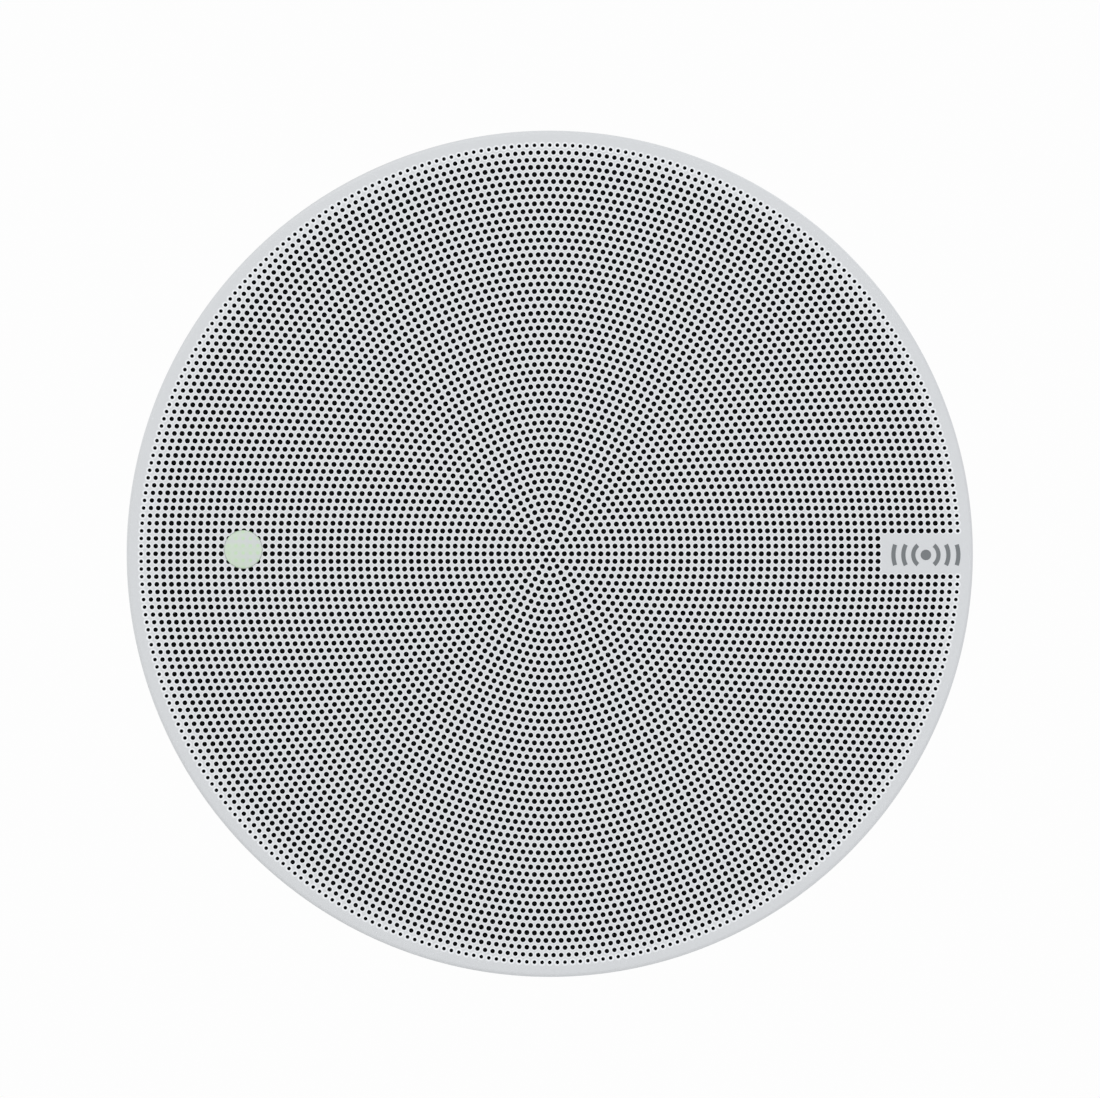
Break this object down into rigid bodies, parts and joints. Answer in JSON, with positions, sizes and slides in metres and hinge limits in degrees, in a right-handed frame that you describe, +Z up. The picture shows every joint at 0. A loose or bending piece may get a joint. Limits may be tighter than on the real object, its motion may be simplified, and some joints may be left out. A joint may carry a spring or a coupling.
{
  "type": "ceiling alarm speaker",
  "caption": "Round flush ceiling alarm and voice speaker with a perforated steel grille, a motion sensor lens, a sealed back can and swing-out clamps.",
  "frame": {"origin": "centre of the plane where the flange gasket rests on the ceiling or wall board", "axes": "-Y out of the grille into the room, +Y into the ceiling or wall void, +Z up and +X right as the grille is seen, with the sensor lens on the left"},
  "size_m": [0.29, 0.1492, 0.29],
  "materials": {
    "grille_paint": "satin white powder coat",
    "baffle_plastic": "white moulded ABS",
    "foam": "closed-cell foam, black",
    "acoustic_cloth": "thin black acoustic cloth",
    "nickel": "nickel plate",
    "lens_plastic": "translucent pale green-white polyethylene",
    "black_plastic": "black glass-filled nylon",
    "grey_plastic": "grey flame-retardant ABS",
    "circuit_board": "green solder mask",
    "terminal_green": "green polyamide",
    "zinc_steel": "bright zinc plate",
    "black_steel": "black powder coat",
    "cone_paper": "coated black paper",
    "surround_rubber": "matt black butyl",
    "spider_linen": "resin-dipped linen, corrugated",
    "dome_silk": "coated silk",
    "ferrite": "matt ferrite",
    "brass": "turned brass",
    "coil": "aluminium former with enamelled copper winding",
    "aluminium": "matt anodised",
    "felt": "polyester damping wool"
  },
  "bodies": {
    "housing": {"front_baffle": "baffle_plastic", "flange_gasket": "foam", "sensor_lens": "lens_plastic", "sensor_holder": "black_plastic", "sensor_board": "circuit_board", "sensor_element": "nickel", "driver_basket": "black_steel", "driver_gasket": "foam", "cone_surround": "surround_rubber", "spider": "spider_linen", "top_plate": "zinc_steel", "ring_magnet": "ferrite", "pole_yoke": "zinc_steel", "tweeter_post": "aluminium", "tweeter_housing": "black_plastic", "tweeter_guard": "black_plastic", "back_can": "black_steel", "can_seal": "foam", "damping_pad": "felt", "electronics_case": "grey_plastic", "hinge_pin": "zinc_steel", "cable_grommet": "surround_rubber", "heat_sink_cover": "aluminium", "main_board": "circuit_board", "connector_board": "circuit_board", "network_jack": "nickel", "terminal_block": "terminal_green", "safety_lug": "zinc_steel", "grille_magnet_1": "nickel", "driver_screw_1": "zinc_steel", "can_screw_1": "zinc_steel", "grille_magnet_2": "nickel", "driver_screw_2": "zinc_steel", "can_screw_2": "zinc_steel", "grille_magnet_3": "nickel", "driver_screw_3": "zinc_steel", "can_screw_3": "zinc_steel", "grille_magnet_4": "nickel", "driver_screw_4": "zinc_steel", "can_screw_4": "zinc_steel"},
    "grille_unit": {"grille": "grille_paint", "grille_cloth": "acoustic_cloth"},
    "moving_coil": {"cone": "cone_paper", "coil_former": "coil"},
    "dome": {"tweeter_dome": "dome_silk"},
    "cover": {"connection_cover": "grey_plastic"},
    "button": {"control_button": "black_plastic"},
    "clamp_screw_1": {"clamp_screw_1": "zinc_steel"},
    "clamp_nut_1": {"clamp_nut_1": "brass"},
    "clamp_arm_1": {"clamp_arm_1": "black_plastic"},
    "clamp_screw_2": {"clamp_screw_2": "zinc_steel"},
    "clamp_nut_2": {"clamp_nut_2": "brass"},
    "clamp_arm_2": {"clamp_arm_2": "black_plastic"},
    "clamp_screw_3": {"clamp_screw_3": "zinc_steel"},
    "clamp_nut_3": {"clamp_nut_3": "brass"},
    "clamp_arm_3": {"clamp_arm_3": "black_plastic"},
    "clamp_screw_4": {"clamp_screw_4": "zinc_steel"},
    "clamp_nut_4": {"clamp_nut_4": "brass"},
    "clamp_arm_4": {"clamp_arm_4": "black_plastic"}
  },
  "joints": [
    {"name": "grille_pull", "type": "slide", "parent": "housing", "child": "grille_unit", "axis": [0, -1, 0], "range_m": [0, 0.06]},
    {"name": "cone_stroke", "type": "slide", "parent": "housing", "child": "moving_coil", "axis": [0, -1, 0], "range_m": [-0.004, 0.004], "stiffness_N_per_m": 1500, "deforming": ["cone_surround", "spider"]},
    {"name": "dome_stroke", "type": "slide", "parent": "housing", "child": "dome", "axis": [0, -1, 0], "range_m": [-0.0003, 0.0003], "stiffness_N_per_m": 1000},
    {"name": "cover_hinge", "type": "hinge", "parent": "housing", "child": "cover", "pos_m": [0.049, 0.12355, 0.0555], "axis": [1, 0, 0], "range_deg": [0, 110]},
    {"name": "button_press", "type": "slide", "parent": "housing", "child": "button", "axis": [0, -1, 0], "range_m": [0, 0.0008], "stiffness_N_per_m": 400},
    {"name": "screw_turn_1", "type": "hinge", "parent": "housing", "child": "clamp_screw_1", "pos_m": [0.07778, 0, 0.07778], "axis": [0, 1, 0], "range_deg": [0, 6120]},
    {"name": "nut_travel_1", "type": "slide", "parent": "housing", "child": "clamp_nut_1", "axis": [0, -1, 0], "range_m": [0, 0.034]},
    {"name": "arm_swing_1", "type": "hinge", "parent": "clamp_nut_1", "child": "clamp_arm_1", "pos_m": [0.07778, 0.05, 0.07778], "axis": [0, 1, 0], "range_deg": [0, 90]},
    {"name": "screw_turn_2", "type": "hinge", "parent": "housing", "child": "clamp_screw_2", "pos_m": [-0.07778, 0, 0.07778], "axis": [0, 1, 0], "range_deg": [0, 6120]},
    {"name": "nut_travel_2", "type": "slide", "parent": "housing", "child": "clamp_nut_2", "axis": [0, -1, 0], "range_m": [0, 0.034]},
    {"name": "arm_swing_2", "type": "hinge", "parent": "clamp_nut_2", "child": "clamp_arm_2", "pos_m": [-0.07778, 0.05, 0.07778], "axis": [0, 1, 0], "range_deg": [0, 90]},
    {"name": "screw_turn_3", "type": "hinge", "parent": "housing", "child": "clamp_screw_3", "pos_m": [-0.07778, 0, -0.07778], "axis": [0, 1, 0], "range_deg": [0, 6120]},
    {"name": "nut_travel_3", "type": "slide", "parent": "housing", "child": "clamp_nut_3", "axis": [0, -1, 0], "range_m": [0, 0.034]},
    {"name": "arm_swing_3", "type": "hinge", "parent": "clamp_nut_3", "child": "clamp_arm_3", "pos_m": [-0.07778, 0.05, -0.07778], "axis": [0, 1, 0], "range_deg": [0, 90]},
    {"name": "screw_turn_4", "type": "hinge", "parent": "housing", "child": "clamp_screw_4", "pos_m": [0.07778, 0, -0.07778], "axis": [0, 1, 0], "range_deg": [0, 6120]},
    {"name": "nut_travel_4", "type": "slide", "parent": "housing", "child": "clamp_nut_4", "axis": [0, -1, 0], "range_m": [0, 0.034]},
    {"name": "arm_swing_4", "type": "hinge", "parent": "clamp_nut_4", "child": "clamp_arm_4", "pos_m": [0.07778, 0.05, -0.07778], "axis": [0, 1, 0], "range_deg": [0, 90]}
  ],
  "couplings": [
    {"joint": "screw_turn_1", "follows": "nut_travel_1", "rad_per_m": 3141.6},
    {"joint": "screw_turn_2", "follows": "nut_travel_2", "rad_per_m": 3141.6},
    {"joint": "screw_turn_3", "follows": "nut_travel_3", "rad_per_m": 3141.6},
    {"joint": "screw_turn_4", "follows": "nut_travel_4", "rad_per_m": 3141.6}
  ]
}
